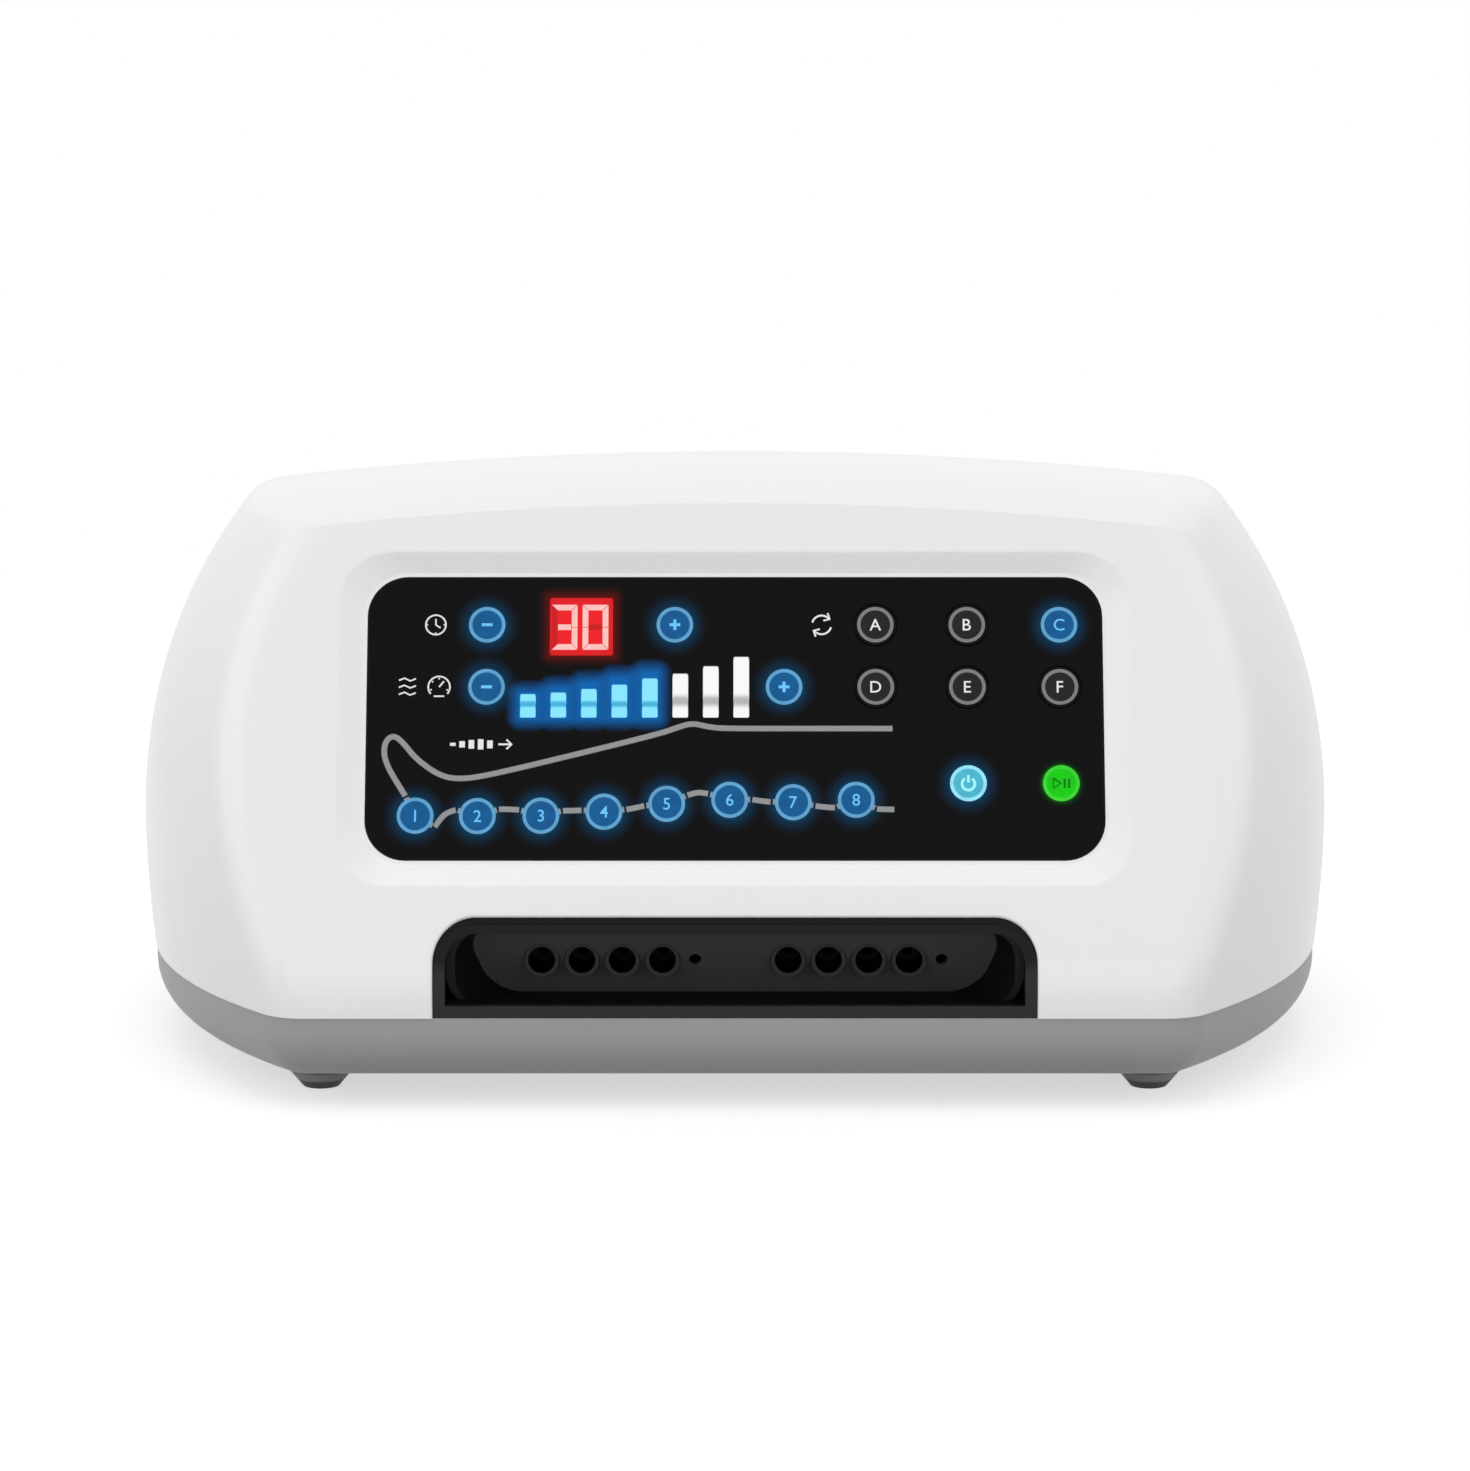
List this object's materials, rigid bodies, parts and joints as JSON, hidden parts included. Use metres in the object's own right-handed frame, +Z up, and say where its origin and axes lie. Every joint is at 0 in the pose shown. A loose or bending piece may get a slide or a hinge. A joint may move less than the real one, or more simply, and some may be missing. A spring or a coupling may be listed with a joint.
{
  "type": "compression therapy pump",
  "caption": "Desktop air compression therapy pump: white case on a grey base, leaning black control panel with press keys, hose port bay below.",
  "frame": {"origin": "under the middle of the case at the level of the feet's soles", "axes": "+X to the right as seen from the front, the control panel faces -Y, +Z up"},
  "size_m": [0.312, 0.216, 0.1502],
  "materials": {
    "white_case": "gloss moulded plastic",
    "grey_base": "satin moulded plastic",
    "foot_rubber": "matt rubber",
    "steel": "zinc-plated",
    "black_fascia": "high-gloss black panel",
    "red_window": "clear red pane, lit from behind",
    "red_display": "two-digit light module",
    "light_guides": "light guides, lit from behind",
    "key_cap": "gloss press key with a lit ring",
    "circuit_board": "lacquered circuit board",
    "switch_plastic": "press switches",
    "white_lights": "surface-mounted lights",
    "charcoal_bay": "satin charcoal plastic",
    "socket_plastic": "smooth black plastic",
    "silicone_tube": "translucent silicone",
    "white_nylon": "natural nylon",
    "coil_wrap": "taped coils",
    "cast_aluminium": "die-cast",
    "core_steel": "laminated steel with windings",
    "armature_steel": "machined steel",
    "component_black": "electronic parts",
    "inlet_black": "satin black plastic",
    "brass_pins": "plated pins",
    "fuse_glass": "glass tube fuse",
    "rocker_gloss": "gloss rocker"
  },
  "bodies": {
    "root": {"upper_shell": "white_case", "lower_base": "grey_base", "rubber_feet": "foot_rubber", "case_screws": "steel", "control_fascia": "black_fascia", "display_window": "red_window", "time_display": "red_display", "pressure_light_bars": "light_guides", "key_board": "circuit_board", "key_switches": "switch_plastic", "panel_lights": "white_lights", "port_bay": "charcoal_bay", "air_sockets": "socket_plastic", "outlet_tubes": "silicone_tube", "valve_manifold": "white_nylon", "valve_coils": "coil_wrap", "pump_housing": "cast_aluminium", "pump_magnets": "core_steel", "pump_diaphragms": "foot_rubber", "pump_heads": "white_nylon", "pump_mounts": "foot_rubber", "pump_hoses": "silicone_tube", "main_board": "circuit_board", "board_components": "component_black", "transformer": "core_steel", "mains_inlet": "inlet_black", "inlet_pins": "brass_pins", "machine_screws": "steel"},
    "time_down_key": {"time_down_key": "key_cap"},
    "time_up_key": {"time_up_key": "key_cap"},
    "pressure_down_key": {"pressure_down_key": "key_cap"},
    "pressure_up_key": {"pressure_up_key": "key_cap"},
    "mode_a_key": {"mode_a_key": "key_cap"},
    "mode_b_key": {"mode_b_key": "key_cap"},
    "mode_c_key": {"mode_c_key": "key_cap"},
    "mode_d_key": {"mode_d_key": "key_cap"},
    "mode_e_key": {"mode_e_key": "key_cap"},
    "mode_f_key": {"mode_f_key": "key_cap"},
    "power_key": {"power_key": "key_cap"},
    "start_pause_key": {"start_pause_key": "key_cap"},
    "chamber_1_key": {"chamber_1_key": "key_cap"},
    "chamber_2_key": {"chamber_2_key": "key_cap"},
    "chamber_3_key": {"chamber_3_key": "key_cap"},
    "chamber_4_key": {"chamber_4_key": "key_cap"},
    "chamber_5_key": {"chamber_5_key": "key_cap"},
    "chamber_6_key": {"chamber_6_key": "key_cap"},
    "chamber_7_key": {"chamber_7_key": "key_cap"},
    "chamber_8_key": {"chamber_8_key": "key_cap"},
    "valve_plunger_1": {"valve_plunger_1": "armature_steel"},
    "valve_plunger_2": {"valve_plunger_2": "armature_steel"},
    "valve_plunger_3": {"valve_plunger_3": "armature_steel"},
    "valve_plunger_4": {"valve_plunger_4": "armature_steel"},
    "valve_plunger_5": {"valve_plunger_5": "armature_steel"},
    "valve_plunger_6": {"valve_plunger_6": "armature_steel"},
    "valve_plunger_7": {"valve_plunger_7": "armature_steel"},
    "valve_plunger_8": {"valve_plunger_8": "armature_steel"},
    "armature": {"pump_armature": "armature_steel"},
    "fuse_drawer": {"fuse_drawer": "inlet_black", "fuse": "fuse_glass"},
    "mains_switch": {"mains_switch": "rocker_gloss"}
  },
  "joints": [
    {"name": "time_down_press", "type": "slide", "parent": "root", "child": "time_down_key", "axis": [0, 0.9239, -0.3827], "range_m": [0, 0.0005], "stiffness_N_per_m": 400, "springref_m": -0.001},
    {"name": "time_up_press", "type": "slide", "parent": "root", "child": "time_up_key", "axis": [0, 0.9239, -0.3827], "range_m": [0, 0.0005], "stiffness_N_per_m": 400, "springref_m": -0.001},
    {"name": "pressure_down_press", "type": "slide", "parent": "root", "child": "pressure_down_key", "axis": [0, 0.9239, -0.3827], "range_m": [0, 0.0005], "stiffness_N_per_m": 400, "springref_m": -0.001},
    {"name": "pressure_up_press", "type": "slide", "parent": "root", "child": "pressure_up_key", "axis": [0, 0.9239, -0.3827], "range_m": [0, 0.0005], "stiffness_N_per_m": 400, "springref_m": -0.001},
    {"name": "mode_a_press", "type": "slide", "parent": "root", "child": "mode_a_key", "axis": [0, 0.9239, -0.3827], "range_m": [0, 0.0005], "stiffness_N_per_m": 400, "springref_m": -0.001},
    {"name": "mode_b_press", "type": "slide", "parent": "root", "child": "mode_b_key", "axis": [0, 0.9239, -0.3827], "range_m": [0, 0.0005], "stiffness_N_per_m": 400, "springref_m": -0.001},
    {"name": "mode_c_press", "type": "slide", "parent": "root", "child": "mode_c_key", "axis": [0, 0.9239, -0.3827], "range_m": [0, 0.0005], "stiffness_N_per_m": 400, "springref_m": -0.001},
    {"name": "mode_d_press", "type": "slide", "parent": "root", "child": "mode_d_key", "axis": [0, 0.9239, -0.3827], "range_m": [0, 0.0005], "stiffness_N_per_m": 400, "springref_m": -0.001},
    {"name": "mode_e_press", "type": "slide", "parent": "root", "child": "mode_e_key", "axis": [0, 0.9239, -0.3827], "range_m": [0, 0.0005], "stiffness_N_per_m": 400, "springref_m": -0.001},
    {"name": "mode_f_press", "type": "slide", "parent": "root", "child": "mode_f_key", "axis": [0, 0.9239, -0.3827], "range_m": [0, 0.0005], "stiffness_N_per_m": 400, "springref_m": -0.001},
    {"name": "power_press", "type": "slide", "parent": "root", "child": "power_key", "axis": [0, 0.9239, -0.3827], "range_m": [0, 0.0005], "stiffness_N_per_m": 400, "springref_m": -0.001},
    {"name": "start_pause_press", "type": "slide", "parent": "root", "child": "start_pause_key", "axis": [0, 0.9239, -0.3827], "range_m": [0, 0.0005], "stiffness_N_per_m": 400, "springref_m": -0.001},
    {"name": "chamber_1_press", "type": "slide", "parent": "root", "child": "chamber_1_key", "axis": [0, 0.9239, -0.3827], "range_m": [0, 0.0005], "stiffness_N_per_m": 400, "springref_m": -0.001},
    {"name": "chamber_2_press", "type": "slide", "parent": "root", "child": "chamber_2_key", "axis": [0, 0.9239, -0.3827], "range_m": [0, 0.0005], "stiffness_N_per_m": 400, "springref_m": -0.001},
    {"name": "chamber_3_press", "type": "slide", "parent": "root", "child": "chamber_3_key", "axis": [0, 0.9239, -0.3827], "range_m": [0, 0.0005], "stiffness_N_per_m": 400, "springref_m": -0.001},
    {"name": "chamber_4_press", "type": "slide", "parent": "root", "child": "chamber_4_key", "axis": [0, 0.9239, -0.3827], "range_m": [0, 0.0005], "stiffness_N_per_m": 400, "springref_m": -0.001},
    {"name": "chamber_5_press", "type": "slide", "parent": "root", "child": "chamber_5_key", "axis": [0, 0.9239, -0.3827], "range_m": [0, 0.0005], "stiffness_N_per_m": 400, "springref_m": -0.001},
    {"name": "chamber_6_press", "type": "slide", "parent": "root", "child": "chamber_6_key", "axis": [0, 0.9239, -0.3827], "range_m": [0, 0.0005], "stiffness_N_per_m": 400, "springref_m": -0.001},
    {"name": "chamber_7_press", "type": "slide", "parent": "root", "child": "chamber_7_key", "axis": [0, 0.9239, -0.3827], "range_m": [0, 0.0005], "stiffness_N_per_m": 400, "springref_m": -0.001},
    {"name": "chamber_8_press", "type": "slide", "parent": "root", "child": "chamber_8_key", "axis": [0, 0.9239, -0.3827], "range_m": [0, 0.0005], "stiffness_N_per_m": 400, "springref_m": -0.001},
    {"name": "valve_1_lift", "type": "slide", "parent": "root", "child": "valve_plunger_1", "axis": [0, 0, 1], "range_m": [0, 0.0012], "stiffness_N_per_m": 300, "springref_m": -0.002},
    {"name": "valve_2_lift", "type": "slide", "parent": "root", "child": "valve_plunger_2", "axis": [0, 0, 1], "range_m": [0, 0.0012], "stiffness_N_per_m": 300, "springref_m": -0.002},
    {"name": "valve_3_lift", "type": "slide", "parent": "root", "child": "valve_plunger_3", "axis": [0, 0, 1], "range_m": [0, 0.0012], "stiffness_N_per_m": 300, "springref_m": -0.002},
    {"name": "valve_4_lift", "type": "slide", "parent": "root", "child": "valve_plunger_4", "axis": [0, 0, 1], "range_m": [0, 0.0012], "stiffness_N_per_m": 300, "springref_m": -0.002},
    {"name": "valve_5_lift", "type": "slide", "parent": "root", "child": "valve_plunger_5", "axis": [0, 0, 1], "range_m": [0, 0.0012], "stiffness_N_per_m": 300, "springref_m": -0.002},
    {"name": "valve_6_lift", "type": "slide", "parent": "root", "child": "valve_plunger_6", "axis": [0, 0, 1], "range_m": [0, 0.0012], "stiffness_N_per_m": 300, "springref_m": -0.002},
    {"name": "valve_7_lift", "type": "slide", "parent": "root", "child": "valve_plunger_7", "axis": [0, 0, 1], "range_m": [0, 0.0012], "stiffness_N_per_m": 300, "springref_m": -0.002},
    {"name": "valve_8_lift", "type": "slide", "parent": "root", "child": "valve_plunger_8", "axis": [0, 0, 1], "range_m": [0, 0.0012], "stiffness_N_per_m": 300, "springref_m": -0.002},
    {"name": "pump_stroke", "type": "slide", "parent": "root", "child": "armature", "axis": [1, 0, 0], "range_m": [-0.0015, 0.0015], "stiffness_N_per_m": 6000},
    {"name": "fuse_drawer_slide", "type": "slide", "parent": "root", "child": "fuse_drawer", "axis": [0, 1, 0], "range_m": [0, 0.016]},
    {"name": "mains_switch_rock", "type": "hinge", "parent": "root", "child": "mains_switch", "pos_m": [0.084, 0.1024, 0.0835], "axis": [0, 0, 1], "range_deg": [0, 16]}
  ]
}
